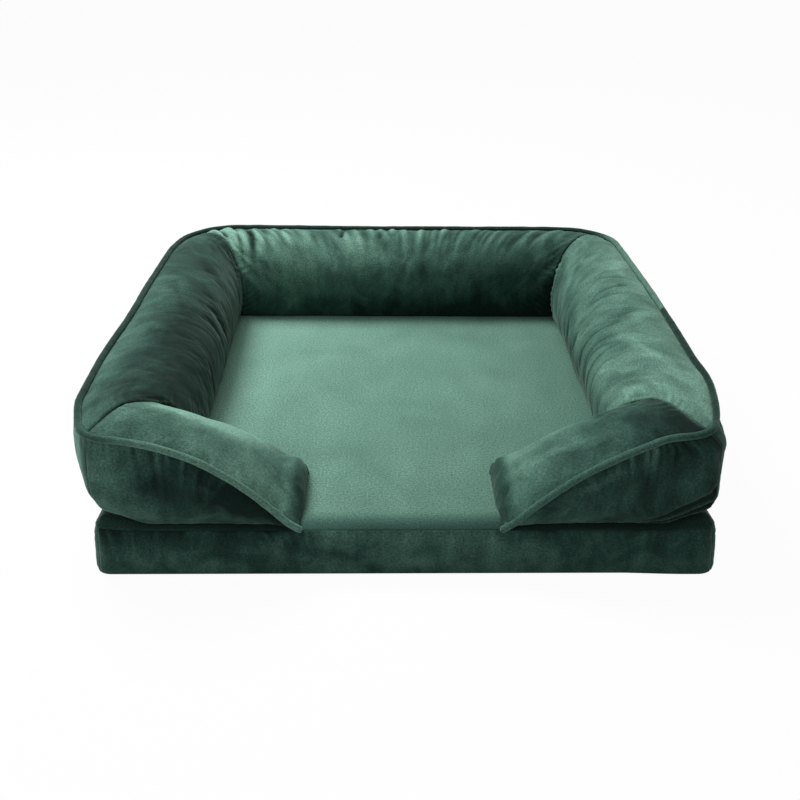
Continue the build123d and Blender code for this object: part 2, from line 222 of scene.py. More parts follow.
foam_material = plain_material(
    "open_cell_foam", grain=(700, 3), bump=(0.5, 0.0006), roughness=0.95,
    shades=((0.35, (0.62, 0.52, 0.33)), (0.65, (0.82, 0.74, 0.53))),
)
shape = bmesh.new()
bmesh.ops.create_cube(shape, size=1)
bmesh.ops.scale(shape, verts=shape.verts, vec=foam_high - foam_low - foam_squeeze)
bmesh.ops.translate(shape, verts=shape.verts, vec=(foam_low + foam_high) / 2)
upright_edges = [e for e in shape.edges if abs(e.verts[0].co.z - e.verts[1].co.z) > foam_corner]
rounded(shape, upright_edges, foam_corner, 8)
rounded(shape, shape.edges[:], foam_edge, 2)
foam = new_piece("foam_block", shape, foam_material)
built_in(foam, "foam_slab")

# Velvet: a knitted pile cloth in deep green. The pile is lighter where it leans away from the
# light and darker where it leans towards it, in crushed patches. A panel's "nap", from 0 to 1,
# sets how light each point is, for the lean of its pile and for broad sweeps of painted light and shade.
pile_shades = (
    (0.00, (0.004, 0.014, 0.011)),
    (0.25, (0.020, 0.055, 0.043)),
    (0.50, (0.052, 0.120, 0.094)),
    (0.75, (0.108, 0.220, 0.172)),
    (1.00, (0.200, 0.380, 0.300)),
)
velvet_sheen_tint = (0.60, 0.92, 0.78, 1)
tuft_scale, pile_scale = 330, 760
smear_scale, smear_depth = 3.4, 0.6
patch_relief, smear_relief, tuft_relief = 0.008, 0.003, 0.0007


def scaled(tree, value, factor, added):
    return add_node(tree, "Math", {0: value, 1: factor, 2: added}, operation="MULTIPLY_ADD").outputs[0]


def mixed(tree, kind, factor, first, second):
    sockets = {"Factor": factor, "A": first, "B": second}
    return add_node(tree, "Mix", sockets, data_type="RGBA", blend_type=kind).outputs["Result"]


def velvet(name, patch_scale, patch_depth, sheen, streak=(1, 1, 1)):
    """Colour by the nap and its painted light and shade, with crushed patches, finer smears, tufts and
    single hairs.
    """
    material, tree, shader = new_material(name)
    place = add_node(tree, "TexCoord").outputs["UV"]
    tone = add_node(tree, "Attribute", attribute_name="nap_and_painted_light").outputs["Fac"]
    patches = speckle(tree, place, patch_scale, 4, 0.9, streak)
    smears = speckle(tree, place, patch_scale * smear_scale, 3, 0.6, (1, 0.5, 1))
    tufts = speckle(tree, place, tuft_scale, 2)
    pile = speckle(tree, place, pile_scale, 1)
    for pattern, depth in ((patches, patch_depth), (smears, patch_depth * smear_depth)):
        tone = scaled(tree, pattern, depth, scaled(tree, tone, 1.0, -depth / 2))
    colour = ramp(tree, tone, *pile_shades)
    for pattern, dark, light in ((tufts, 0.62, 1.36), (pile, 0.84, 1.15)):
        grained = ramp(tree, pattern, (0.3, (dark, dark, dark)), (0.7, (light, light, light)))
        colour = mixed(tree, "MULTIPLY", 1.0, colour, grained)
    crushed = relief(tree, patches, patch_depth / 2, patch_relief)
    crushed = relief(tree, smears, patch_depth / 2, smear_relief, crushed)
    feed(tree, shader, {
        "Base Color": colour,
        "Normal": relief(tree, tufts, 0.4, tuft_relief, crushed),
        "Roughness": 0.85,
        "Specular IOR Level": 0.10,
        "Sheen Weight": sheen,
        "Sheen Roughness": 0.40,
        "Sheen Tint": velvet_sheen_tint,
    })
    return material


bolster_velvet = velvet("bolster_velvet", patch_scale=13, patch_depth=0.75, sheen=0.20)
mattress_velvet = velvet("mattress_velvet", patch_scale=5, patch_depth=0.22, sheen=0.35)

# Mattress cover: a top panel, a non-slip bottom panel and side walls, sewn inside out and
# turned, so that each seam is a groove. It is a close fit round the foam.
base_low, base_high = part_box("mattress_top_panel")
seam_gap, top_inset, pattern_spread = 0.0003, 0.001, (3.1, 5.7)
seat = base_high.z + seam_gap
half_width, half_depth = base_high.x, (base_high.y - base_low.y) / 2
base_middle = Vector((0, (base_low.y + base_high.y) / 2, 0))
mattress_height, base_corner = base_high.z, 0.018
lower_seam, upper_seam = 0.0015, 0.075
cloth_step, cloth_thickness, seam_tuck = 0.0055, 0.0016, 0.0022
crumple, crumple_scale = 0.0012, 30
sewn_panels = []


def between(start, end, share):
    return start + (end - start) * share


def eased(value, start, end):
    """How far a value is from start to end, eased at both, from 0 to 1."""
    share = min(max((value - start) / (end - start), 0), 1)
    return share * share * (3 - 2 * share)


def uneven(*place):
    """A smooth random value from about -1 to 1 that depends only on the place."""
    return noise.noise(Vector(place))


def length_of(points):
    return sum((b - a).length for a, b in zip(points, points[1:]))


def spaced(points, count):
    """Points at even distances along a line of points, ends included."""
    lengths = [0.0]
    for a, b in zip(points, points[1:]):
        lengths.append(lengths[-1] + (b - a).length)
    found, leg = [], 0
    for i in range(count):
        target = lengths[-1] * i / (count - 1)
        while leg < len(points) - 2 and lengths[leg + 1] < target:
            leg += 1
        span = lengths[leg + 1] - lengths[leg]
        share = (target - lengths[leg]) / span if span else 0
        found.append(points[leg].lerp(points[leg + 1], min(max(share, 0), 1)))
    return found


def cloth_grid(columns, nap_and_painted_light=(0.5, 0.5, 0.5, 0.5)):
    """A flat rectangle of cloth laid over columns of points. Its UV is in metres.

    Nap is the pile's lean and painted light and shade at the first column's foot and top and at the last
    one's.
    """
    across, along = len(columns) - 1, len(columns[0]) - 1
    width = length_of([column[along // 2] for column in columns])
    height = length_of(columns[across // 2])
    shape = bmesh.new()
    uv = shape.loops.layers.uv.new("cloth")
    from_start = shape.verts.layers.float.new("from_start")
    from_foot = shape.verts.layers.float.new("from_foot")
    pile = shape.verts.layers.float.new("nap_and_painted_light")
    bmesh.ops.create_grid(shape, x_segments=across, y_segments=along, size=0.5, calc_uvs=True)
    # Each panel is cut from another part of the cloth, so its pattern starts elsewhere.
    x, y, z = columns[0][0]
    cut_from = Vector((x * pattern_spread[0] + y, z * pattern_spread[1]))
    for face in shape.faces:
        for loop in face.loops:
            loop[uv].uv = Vector((loop[uv].uv.x * width, loop[uv].uv.y * height)) + cut_from
    for v in shape.verts:
        i, j = round((v.co.x + 0.5) * across), round((v.co.y + 0.5) * along)
        v.co = columns[i][j]
        v[from_start], v[from_foot] = width * i / across, height * j / along
        start, end = (between(foot, top, j / along) for foot, top in (nap_and_painted_light[:2], nap_and_painted_light[2:]))
        v[pile] = between(start, end, i / across)
    return shape, width, height


# Gathers: how far they reach from the seam and how far apart they are, at a panel's foot,
# top, start and end. They drift sideways as they run out, and are deeper in some places.
gather_runs = ((0.020, 0.012), (0.024, 0.012), (0.034, 0.013), (0.034, 0.013))
gather_drift, gather_change, gather_patch = 7, 6, 9
drift_seed, patch_seed, reach_seed, pitch_seed = 4.2, 3.3, 90, 100
puff, valley, least_patch, patch_contrast = 2.4, 0.5, 0.6, 0.8
seam_flat, reaches_to_end = 0.005, 4


def puckers(along, from_seam, depth, reach, pitch):
    """Gathers square to a seam: round puffs with sharp creases between, dying away."""
    if depth == 0 or from_seam > reaches_to_end * reach:
        return 0.0
    drift = from_seam * uneven(along * gather_drift, 0, drift_seed)
    fold = abs(uneven((along + drift) / pitch, from_seam * gather_change, reach * reach_seed))
    patchy = least_patch + patch_contrast * uneven(along * gather_patch, patch_seed, pitch * pitch_seed)
    return depth * patchy * math.exp(-from_seam / reach) * (puff * fold - valley)


def sewn_panel(
    name, columns, inside, ease, swell, nap_and_painted_light, gathers, crease=None, sweep=None, open_at=None
):
    """A velvet panel sewn down round its edge and pressed out by what fills it.

    The cloth is cut larger than its place by the ease along each axis, so that it gathers.
    Inside is a function that gives a point behind the cloth. Gathers are how deep the cloth
    puckers at its foot, its top, its start and its end. Crease adds the panel's own folds, and
    sweep gives the painted light and shade that make its pile lighter or darker. Both take a
    place's share of the panel's width and height, and then its distance from the start and the
    foot. The cloth is left out where open_at says so.
    """
    shape, width, height = cloth_grid(columns, nap_and_painted_light)
    shape.normal_update()
    shape.verts.ensure_lookup_table()
    middle = shape.verts[len(shape.verts) // 2]
    if middle.normal.dot(middle.co - inside(middle.co)) < 0:
        bmesh.ops.reverse_faces(shape, faces=shape.faces)
        shape.normal_update()
    if open_at:
        gone = [f for f in shape.faces if open_at(f.calc_center_median())]
        bmesh.ops.delete(shape, geom=gone, context="FACES")
    edge = [v.index for v in shape.verts if v.is_boundary]
    outward = [v.normal.copy() for v in shape.verts]
    for v, normal in zip(shape.verts, outward):
        if v.is_boundary:
            v.co += (inside(v.co) - v.co).normalized() * seam_tuck
        else:
            v.co += normal * crumple * noise.noise(v.co * crumple_scale)

    def folds(along, up):
        """How far a place stands out, how near it is to a seam, and its painted light or shade."""
        lift = 0.0
        seams = ((along, up), (along, height - up), (up, along), (up, width - along))
        for seam, depth, run in zip(seams, gathers, gather_runs):
            lift += puckers(*seam, depth, *run)
        place = (along / width, up / height, along, up)
        if crease:
            lift += crease(*place)
        near = min(along, width - along, up, height - up)
        return lift * min(near / seam_flat, 1), near, sweep(*place) if sweep else 0.0

    piece = new_piece(name + "_cloth", shape, bolster_velvet)
    sewn = [v.co.copy() for v in piece.data.vertices]
    centre = sum(sewn, Vector()) / len(sewn)
    for v in piece.data.vertices:
        v.co = centre + Vector([c * (1 + e) for c, e in zip(v.co - centre, ease)])
    piece.shape_key_add(name="cut")
    key = piece.shape_key_add(name="sewn")
    for point, place in zip(key.data, sewn):
        point.co = place
    seams = piece.vertex_groups.new(name="seams")
    seams.add(edge, 1.0, "REPLACE")
    sewn_panels.append((piece, key, sewn, outward, set(edge), swell, folds))
    built_in(piece, name)
    return piece


def round_corner(x, y, half_x, half_y, corner):
    """Moves a place in a rectangle's square corner into its rounded one."""
    over_x, over_y = abs(x) - half_x + corner, abs(y) - half_y + corner
    if over_x > 0 and over_y > 0:
        share = max(over_x, over_y) / math.hypot(over_x, over_y)
        x = math.copysign(half_x - corner + over_x * share, x)
        y = math.copysign(half_y - corner + over_y * share, y)
    return x, y


corner_lift, lifted_run = 0.019, 0.085
edge_round, top_crown, top_ripple, ripple_scale = 0.020, 0.0035, 0.0012, 9
seam_lift_share, inner_lift_share, lift_run = 0.3, 0.9, 0.014
edge_places, inner_step = (0.0, 0.0018, 0.0038, 0.0065, 0.010), 0.0050


def lift_at_corner(x, y):
    """How much of the lift a place has: the bolster draws the cover up at the front corners."""
    return eased(half_width - abs(x), lifted_run, 0) * eased(y + half_depth, lifted_run, 0)


def turned_over(margin, run):
    """How far a cloth has turned over, from 0 at a run from its edge to 1 at the edge."""
    return 1 - math.sqrt(1 - max(1 - margin / run, 0) ** 2)


def mattress_top_place(x, y):
    """The top of the mattress: slightly crowned foam, rounded over to the upper seam."""
    margin = min(half_width - abs(x), half_depth - abs(y))
    drop = turned_over(margin, edge_round) * (mattress_height - upper_seam)
    crown = top_crown * (1 - (x / half_width) ** 4) * (1 - (y / half_depth) ** 4)
    lift_share = between(seam_lift_share, inner_lift_share, eased(margin, 0, lift_run))
    crown += corner_lift * lift_at_corner(x, y) * lift_share
    ripple = top_ripple * uneven(x * ripple_scale, y * ripple_scale, 0)
    x, y = round_corner(x, y, half_width, half_depth, base_corner)
    return base_middle + Vector((x, y, mattress_height - top_inset - drop + crown + ripple))


def edge_ruler(half):
    """Places across the mattress: close together in the turned-down edge, then even."""
    *turned, last = edge_places
    flat = 2 * half - 2 * last
    count = round(flat / inner_step)
    inner = [-half + last + flat * i / count for i in range(count + 1)]
    return [-half + t for t in turned] + inner + [half - t for t in reversed(turned)]


def broad_cloth(place, nap_and_painted_light=(0.5, 0.5, 0.5, 0.5)):
    across, deep = edge_ruler(half_width), edge_ruler(half_depth)
    return cloth_grid([[place(x, y) for y in deep] for x in across], nap_and_painted_light)


def flat_panel(shape, node, material):
    """A broad panel of the mattress cover that the filling doesn't move."""
    piece = new_piece(node.replace("non_slip_", "") + "_cloth", shape, material)
    built_in(piece, node)
    return piece


# Painted light and shade in the top's pile: lighter to the left and the back, darker along its
# edge, painted dark where the bolster stands on it, and a little lighter beside the left bolster.
shape, width, height = broad_cloth(mattress_top_place, nap_and_painted_light=(0.90, 1.02, 0.60, 0.72))
pile = shape.verts.layers.float["nap_and_painted_light"]
entrance_middle, entrance_half = -0.012, 0.145
edge_shade, covered_painted_shade, left_light = 0.46, 0.08, 0.10
for v in shape.verts:
    margin = min(half_width - abs(v.co.x), half_depth - abs(v.co.y - base_middle.y))
    v[pile] -= edge_shade * eased(margin, 0.048, 0.004)
    beside_entrance = eased(abs(v.co.x - entrance_middle), entrance_half, entrance_half + 0.012)
    covered = max(beside_entrance, eased(v.co.y, -0.3, 0.0)) * eased(margin, 0.035, 0.020)
    v[pile] = between(v[pile], covered_painted_shade, covered)
    v[pile] += left_light * eased(v.co.x, -0.20, -0.33) * eased(v.co.y, 0.4, 0.2)
top_cloth = flat_panel(shape, "mattress_top_panel", mattress_velvet)

# Side walls: they stand a little out from the foam, more at the foot and most of all at the
# right front corner.
wall_spread, foot_spread, right_front_spread = 0.002, 0.005, 0.004


def wall_line(side):
    """The foot of one wall, from the middle of one rounded corner to the middle of the next."""
    along, out = (half_width, half_depth) if side in ("front", "rear") else (half_depth, half_width)
    end = []
    for degrees in (45, 33.75, 22.5, 11.25, 0):
        a = math.radians(degrees)
        x = along - base_corner + base_corner * math.sin(a)
        end.append(Vector((x, out - base_corner + base_corner * math.cos(a), 0)))
    line = [Vector((-p.x, p.y, 0)) for p in end] + end[::-1]
    turn = {"rear": 0, "left": math.pi / 2, "front": math.pi, "right": -math.pi / 2}[side]
    return [Matrix.Rotation(turn, 3, "Z") @ p + base_middle for p in line]


def wall_columns(side, low, high, rows=None):
    line = wall_line(side)
    rows = rows or max(round((high - low) / cloth_step), 4)
    columns = []
    for p in spaced(line, max(round(length_of(line) / cloth_step), 3) + 1):
        outward = (p - beside_wall(p)).normalized()
        at_right_front = eased(p.x, 0.30, 0.42) * eased(p.y, 0.20, -0.10)
        column = []
        for j in range(rows + 1):
            z = low + (high - low) * j / rows
            if high == upper_seam:
                lift = seam_lift_share * corner_lift * lift_at_corner(p.x, p.y - base_middle.y)
                z += lift * (j / rows) ** 2
            spread = wall_spread + foot_spread * min(max(1 - z / upper_seam, 0), 1)
            spread += right_front_spread * at_right_front * (1 - j / rows)
            spread *= eased(z, seat, upper_seam)
            column.append(Vector((p.x, p.y, z)) + outward * spread)
        columns.append(column)
    return columns


def beside_wall(place):
    """A point just inside the wall, straight back from it, or slantwise at a corner."""
    x, y = place.x, place.y - base_middle.y
    back_x = max(abs(x) - half_width + base_corner, 0)
    back_y = max(abs(y) - half_depth + base_corner, 0)
    return place - Vector((math.copysign(back_x, x), math.copysign(back_y, y), 0))


entrance_light, overhang_shade, left_end_shade = 0.14, 0.16, 0.18


def below_entrance(along_share, up_share, along, up):
    """Painted light on the front wall under the entrance, and painted shade where the wings overhang it."""
    open_part = eased(abs(along_share - 0.5), 0.20, 0.13)
    overhung = -overhang_shade - left_end_shade * eased(along_share, 0.82, 0.93)
    return eased(up_share, 0.35, 0.95) * between(overhung, entrance_light, open_part)


# Each wall's nap paints its light and shade along with the lean of its pile.
for side, wall_ease, wall_nap, wall_sweep in (
    ("front", (0.008, 0, 0.004), (0.30, 0.34, 0.34, 0.38), below_entrance),
    ("left", (0, 0.008, 0.004), (0.40, 0.42, 0.34, 0.38), None),
    ("right", (0, 0.008, 0.004), (0.45, 0.50, 0.35, 0.40), None),
):
    sewn_panel(
        side + "_boxing", wall_columns(side, lower_seam, upper_seam), beside_wall, wall_ease,
        swell=0.005, nap_and_painted_light=wall_nap, gathers=(0.0006, 0.0022, 0.0030, 0.0030), sweep=wall_sweep,
    )
zip_middle = (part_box("base_zip_tape_lower")[0].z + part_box("base_zip_tape_upper")[1].z) / 2
window_half, window_end_run, zip_reach = 0.0065, 0.004, 0.358
for part, low, high in (("upper", zip_middle, upper_seam), ("lower", lower_seam, zip_middle)):
    columns = wall_columns("rear", low, high)
    for column in columns:
        mouth = window_half * eased(zip_reach - abs(column[0].x), 0, window_end_run)
        foot = low + mouth if part == "upper" else low
        for j, place in enumerate(column):
            place.z = foot + (high - low - mouth) * j / (len(column) - 1)
    sewn_panel(
        "rear_boxing_" + part, columns, beside_wall, ease=(0.006, 0, 0.003), swell=0.003,
        nap_and_painted_light=(0.4, 0.45, 0.4, 0.45), gathers=(0.0012, 0.0012, 0.0012, 0.0012),
    )

# Bottom panel: coarse dark cloth with small rubber grip dots, so that the bed doesn't slip.
# It is sewn to the side walls and wrapped up to the lower seam.
grip_material, tree, shader = new_material("grip_cloth")
place = add_node(tree, "TexCoord").outputs["UV"]
weave = speckle(tree, place, 900)
dots = add_node(tree, "TexVoronoi", {"Vector": place, "Scale": 90, "Randomness": 0})
dot_mask = ramp(tree, dots.outputs["Distance"], (0.20, (1, 1, 1)), (0.26, (0, 0, 0)))
ground = ramp(tree, weave, (0.3, (0.010, 0.012, 0.012)), (0.7, (0.028, 0.032, 0.031)))
rubber = ramp(tree, weave, (0.3, (0.05, 0.055, 0.055)), (0.7, (0.065, 0.07, 0.07)))
feed(tree, shader, {
    "Base Color": mixed(tree, "MIX", dot_mask, ground, rubber),
    "Normal": relief(tree, dot_mask, 0.8, 0.0008, relief(tree, weave, 0.4, 0.0004)),
    "Roughness": 0.8,
})
wrapped_run, floor_gap = 0.003, 0.0001


def bottom_place(x, y):
    margin = min(half_width - abs(x), half_depth - abs(y))
    lift = turned_over(margin, wrapped_run) * (lower_seam - seam_gap)
    spread = wall_spread + foot_spread - seam_tuck
    wide, deep = half_width + spread, half_depth + spread
    x, y = round_corner(x * wide / half_width, y * deep / half_depth, wide, deep, base_corner + spread)
    return base_middle + Vector((x, y, floor_gap + lift))


shape, width, height = broad_cloth(bottom_place)
bmesh.ops.reverse_faces(shape, faces=shape.faces)
bottom_cloth = flat_panel(
    shape, "non_slip_bottom_panel", grip_material
)

# Bolster: five stuffed sections. Each is cut to a round-backed form that stands on the
# line from the mattress edge to the inner seam, highest a little outside its middle.
side_width, back_width, wing_width = 0.120, 0.112, 0.160
rail_rise, crown_rise, foot_rise = 0.152, 0.163, 0.022
tip_rise, end_rise = 0.010, 0.041
side_overhang, rear_end_overhang, side_bow = 0.007, -0.003, 0.006
rear_overhang, rear_dip, wing_overhang = 0.006, 0.008, 0.004
outer_bulge, inner_bulge, crown_bow = 0.006, 0.008, 0.003
front_round, rear_round = 0.042, 0.092
foot_tuck, knee_tuck, foot_curve = 0.011, 0.003, Vector((0.0012, 0.0055))
belly_height, shoulder_height, crown_place = 0.55, 0.58, 0.42
end_roll = 0.022
tip = -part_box("left_wing_top_panel")[1].x + end_roll
side_run, rear_run, wing_run = 0.80, 0.84, 0.33
outer_rows, top_rows = 28, 58
foot_steps, side_face_steps, crown_steps, inner_face_steps = 14, 24, 40, 20


def run_to(inner, outward, half_x, half_y, corner):
    """How far out from the inner seam a line crosses a rounded rectangle."""
    near, far, halvings = 0.0, 0.3, 30
    for _ in range(halvings):
        middle = (near + far) / 2
        place = inner + outward * middle
        x = max(abs(place.x) - half_x + corner, 0)
        y = max(abs(place.y) - half_y + corner, 0)
        if math.hypot(x, y) > corner:
            far = middle
        else:
            near = middle
    return near


def angle_about(centre, place):
    return math.atan2(place.y - centre.y, place.x - centre.x)


def arc_about(centre, start, sweep, count):
    arm = start - centre
    return [centre + Matrix.Rotation(sweep * i / count, 2) @ arm for i in range(count + 1)]


def arc_over(a, b, c, count):
    """The arc from a over b to c, its centre, and its sweep."""
    ab, ac = b - a, c - a
    double = 2 * (ab.x * ac.y - ab.y * ac.x)
    centre = a + Vector((
        ac.y * ab.length_squared - ab.y * ac.length_squared,
        ab.x * ac.length_squared - ac.x * ab.length_squared,
    )) / double
    start, middle, end = (angle_about(centre, p) for p in (a, b, c))
    sweep = (end - start) % math.tau
    if (middle - start) % math.tau > sweep:
        sweep -= math.tau
    return arc_about(centre, a, sweep, count), centre


def arc_on_from(start, direction, end, count):
    """The arc that leaves a point in a direction and reaches another point."""
    across = Vector((-direction.y, direction.x))
    chord = end - start
    centre = start + across * (chord.length_squared / (2 * across.dot(chord)))
    turning_left = across.dot(centre - start) > 0
    sweep = (angle_about(centre, end) - angle_about(centre, start)) % math.tau
    return arc_about(centre, start, sweep if turning_left else sweep - math.tau, count)


def cross_section(inner, aim, outline, rail, crown):
    """The outer face and the top of the bolster on one upright cut, as lines of points."""
    inner, aim = Vector(inner), Vector(aim)
    outward = (aim - inner).normalized()
    width = run_to(inner, outward, half_width, half_depth, base_corner)
    overhang = run_to(inner, outward, *outline) - width
    fullness = (rail - mattress_height) / rail_rise
    inner_fullness = (crown - mattress_height) / crown_rise
    knee = Vector((-knee_tuck * fullness, seat + foot_rise * fullness))
    top = Vector((-overhang, rail))
    bulge = overhang / 2 + outer_bulge * fullness
    side = Vector((-bulge, between(knee.y, top.y, belly_height)))
    foot = Vector((foot_tuck, seat))
    under = Vector((foot_curve.x, seat + foot_curve.y))
    outer = arc_over(foot, under, knee, foot_steps)[0]
    outer += arc_over(knee, side, top, side_face_steps)[0][1:]
    shoulder = Vector((width + inner_bulge * inner_fullness, seat + (crown - seat) * shoulder_height))
    over, centre = arc_over(top, Vector((width * crown_place, crown)), shoulder, crown_steps)
    arm = over[-1] - centre
    heading = Vector((arm.y, -arm.x)).normalized()
    down = arc_on_from(shoulder, heading, Vector((width, seat)), inner_face_steps)

    def stand(line):
        return [Vector((*(inner + outward * (width - p.x)), p.y)) + base_middle for p in line]

    return stand(outer), stand(over + down[1:])


def full_section(inner, aim, outline, bow):
    """A cut through a side or the rear, which keep their height but for a small bow."""
    crown = mattress_height + crown_rise + crown_bow * bow
    return cross_section(inner, aim, outline, mattress_height + rail_rise, crown)


def side_cut(share):
    bow = math.sin(math.pi * share)
    overhang = between(side_overhang, rear_end_overhang, share) + side_bow * bow
    end_overhang, corner = (wing_overhang, front_round) if share < 0.5 else (rear_overhang, rear_round)
    outline = (half_width + overhang, half_depth + end_overhang, corner)
    inner_y = between(wing_width - half_depth, half_depth - back_width, share)
    aim_y = between(-half_depth - wing_overhang, half_depth + rear_overhang, share)
    return full_section((side_width - half_width, inner_y), (-half_width - overhang, aim_y), outline, bow)


def rear_cut(share):
    bow = math.sin(math.pi * share)
    overhang = rear_overhang - rear_dip * bow
    outline = (half_width + rear_end_overhang, half_depth + overhang, rear_round)
    inner = ((2 * share - 1) * (half_width - side_width), half_depth - back_width)
    aim = ((2 * share - 1) * (half_width + rear_end_overhang), half_depth + overhang)
    return full_section(inner, aim, outline, bow)


def wing_cut(share):
    """A cut through a wing: rail and crown fall to its tip along two different curves."""
    fall = 1 - share**2.3
    crown = between(end_rise, crown_rise, (1 - share**1.6) ** 1.2)
    outline = (half_width + side_overhang, half_depth + wing_overhang * fall, front_round)
    inner = (between(side_width - half_width, -tip, share), wing_width - half_depth)
    aim = (between(-half_width - side_overhang, -tip, share), -half_depth - wing_overhang)
    rail = mattress_height + between(tip_rise, rail_rise, fall)
    return cross_section(inner, aim, outline, rail, mattress_height + crown)


def section_columns(cut, length):
    """The outer face and the top of a section, as columns of evenly spaced points."""
    count = round(length / cloth_step)
    cuts = [cut(i / count) for i in range(count + 1)]
    outer = [spaced(outer_line, outer_rows + 1) for outer_line, _ in cuts]
    top = [spaced(top_line, top_rows + 1) for _, top_line in cuts]
    return outer, top


def mirrored(columns):
    return [[Vector((-p.x, p.y, p.z)) for p in column] for column in columns]


end_steps, end_slant = 9, 0.65


def turned_down(place, angle, inner_share):
    """Where a place at the wing's tip goes as the end is turned down to the mattress.

    Beside the piping the end slants down in a short straight line. Further in it is rounded.
    """
    roll = end_roll * between(end_slant, 1, inner_share)
    fall = between(1 - math.sin(angle), math.cos(angle), inner_share)
    return Vector((place.x + roll * math.sin(angle), place.y, seat + (place.z - seat) * fall))


def wing_end(columns, is_top):
    """A panel's end, turned down to the mattress and drawn in at its inner corner."""
    last = columns[-1]
    turned = []
    for k in range(1, end_steps + 1):
        angle = math.pi / 2 * k / end_steps
        column = []
        for i, place in enumerate(last):
            up_share = i / (len(last) - 1) if is_top else 0
            column.append(turned_down(place, angle, min(3 * up_share, 1)))
            column[-1].y -= end_roll * (1 - math.cos(angle)) * up_share ** 2
        turned.append(column)
    return columns + turned


rear_line, side_line, wing_line = half_depth - 0.055, half_width - 0.06, -half_depth + 0.08
corner_reach, middle_height, wing_middle_height = 0.05, 0.15, 0.12


def bolster_middle(place):
    """A point on the line through the middle of the bolster, level with a place."""
    x, y = place.x, place.y - base_middle.y
    if y > rear_line - corner_reach and abs(x) < side_line:
        return Vector((x, rear_line, middle_height))
    if y < wing_line + corner_reach and abs(x) < side_line:
        return Vector((x, wing_line, wing_middle_height))
    return Vector((math.copysign(side_line, x), y, middle_height))


# Settling: the stuffed bolster has left its cut form. These are the distances in metres,
# and the numbers in the function are the places on the bed between which each comes in.
left_tip_lean, right_tip_lean, foot_draw = 0.006, 0.012, 0.008
back_rise, rear_dip_down, rear_corner_dip, right_wing_rise = 0.005, 0.003, 0.003, 0.006
right_corner_lean, right_corner_push, right_belly = 0.034, 0.010, 0.006
left_lean, left_back_lean, left_rear_draw, left_front_draw = 0.013, 0.003, 0.013, 0.007
left_sag, left_belly = 0.6, 0.002


def leaned(place):
    """Where a place lies once the filling has settled, leaning a little to the left."""
    x, y, z = place
    rise = eased(z, seat + 0.005, seat + 0.085)
    at_tip = eased(abs(x), 0.30, 0.16) * eased(y, -0.20, -0.26)
    to_left, to_back = (left_tip_lean if x < 0 else right_tip_lean) * at_tip, 0.0
    up = back_rise * eased(y, -0.30, 0.10) - rear_dip_down * eased(y, 0.30, 0.42)
    up *= eased(z, 0.14, 0.24)
    right_wing = eased(x, 0.17, 0.26) * eased(x, 0.44, 0.36) * eased(y, -0.25, -0.29)
    up += right_wing_rise * right_wing * eased(z, seat + 0.02, seat + 0.08)
    up -= rear_corner_dip * rise * eased(abs(x), 0.30, 0.43) * eased(y, 0.33, 0.43)
    if x > 0:
        corner = min(max((-0.24 - y) / 0.18, 0), 1) ** 1.5 * eased(x, 0.22, 0.42)
        shoulder = between(0.28, 1, eased(z, 0.205, 0.238)) * rise
        to_left += right_corner_lean * shoulder * corner
        belly = eased(z, 0.19, 0.225) * eased(y, -0.18, -0.30) * eased(x, 0.42, 0.46)
        to_left -= right_belly * belly
        to_back = right_corner_push * shoulder * eased(x, 0.34, 0.44) * eased(y, -0.36, -0.43)
    else:
        left = eased(x, -0.24, -0.38) * rise
        along = eased(y, 0.02, -0.24) * eased(y, -0.45, -0.33)
        to_left += left_lean * left * along * (1 + left_sag * eased(z, 0.225, 0.19))
        to_left += left_back_lean * left * eased(y, 0.30, 0.05)
        to_left -= left_rear_draw * left * eased(y, 0.28, 0.41)
        to_left -= left_front_draw * left * eased(y, -0.33, -0.43)
        belly = eased(z, 0.10, 0.18) * eased(z, 0.245, 0.215)
        to_left += left_belly * belly * eased(y, -0.30, -0.40) * eased(x, -0.42, -0.46)
    lift = lift_at_corner(x, y - base_middle.y) * eased(z, seat + 0.06, seat)
    inwards = foot_draw * lift
    up += corner_lift * lift
    return Vector((x - to_left - math.copysign(inwards, x), y + to_back + inwards, z + up))


fold_change, fold_patch, fold_seed, fold_end = 5, (8, 6), 900, 0.12


def arching(depth, pitch, bow=0.09, low=0.15, high=0.85):
    """Folds that run across a section and bow along it, in places, between two shares."""
    def crease(along_share, up_share, along, up):
        bent = (along + bow * (up_share - 0.45) ** 2) / pitch
        fold = 1 - 2 * abs(uneven(bent, up * fold_change, depth * fold_seed))
        reach = eased(up_share, low - fold_end, low + 0.08) * eased(up_share, high + fold_end, high - 0.08)
        patchy = eased(uneven(along * fold_patch[0], up * fold_patch[1], 7.7), -0.25, 0.2)
        return -depth * reach * max(fold, 0) ** 5 * patchy
    return crease


# The rear top's gathers: how far each is from the left end, how wide it is, and its depth.
rear_gathers = (
    (0.034, 0.0060, 1.0), (0.064, 0.0050, 0.6), (0.090, 0.0070, 1.0), (0.120, 0.0080, 0.35),
    (0.152, 0.0060, 0.25), (0.262, 0.0035, 0.6), (0.330, 0.0060, 0.25),
)
rear_mitre_run, gather_waver, gather_waves = 0.085, 0.004, (12, 14)
gather_depth, gather_puff = 0.0085, 0.0016
fine_gather_depth, fine_gather_pitch, fine_gather_change = 0.0042, 0.018, 6


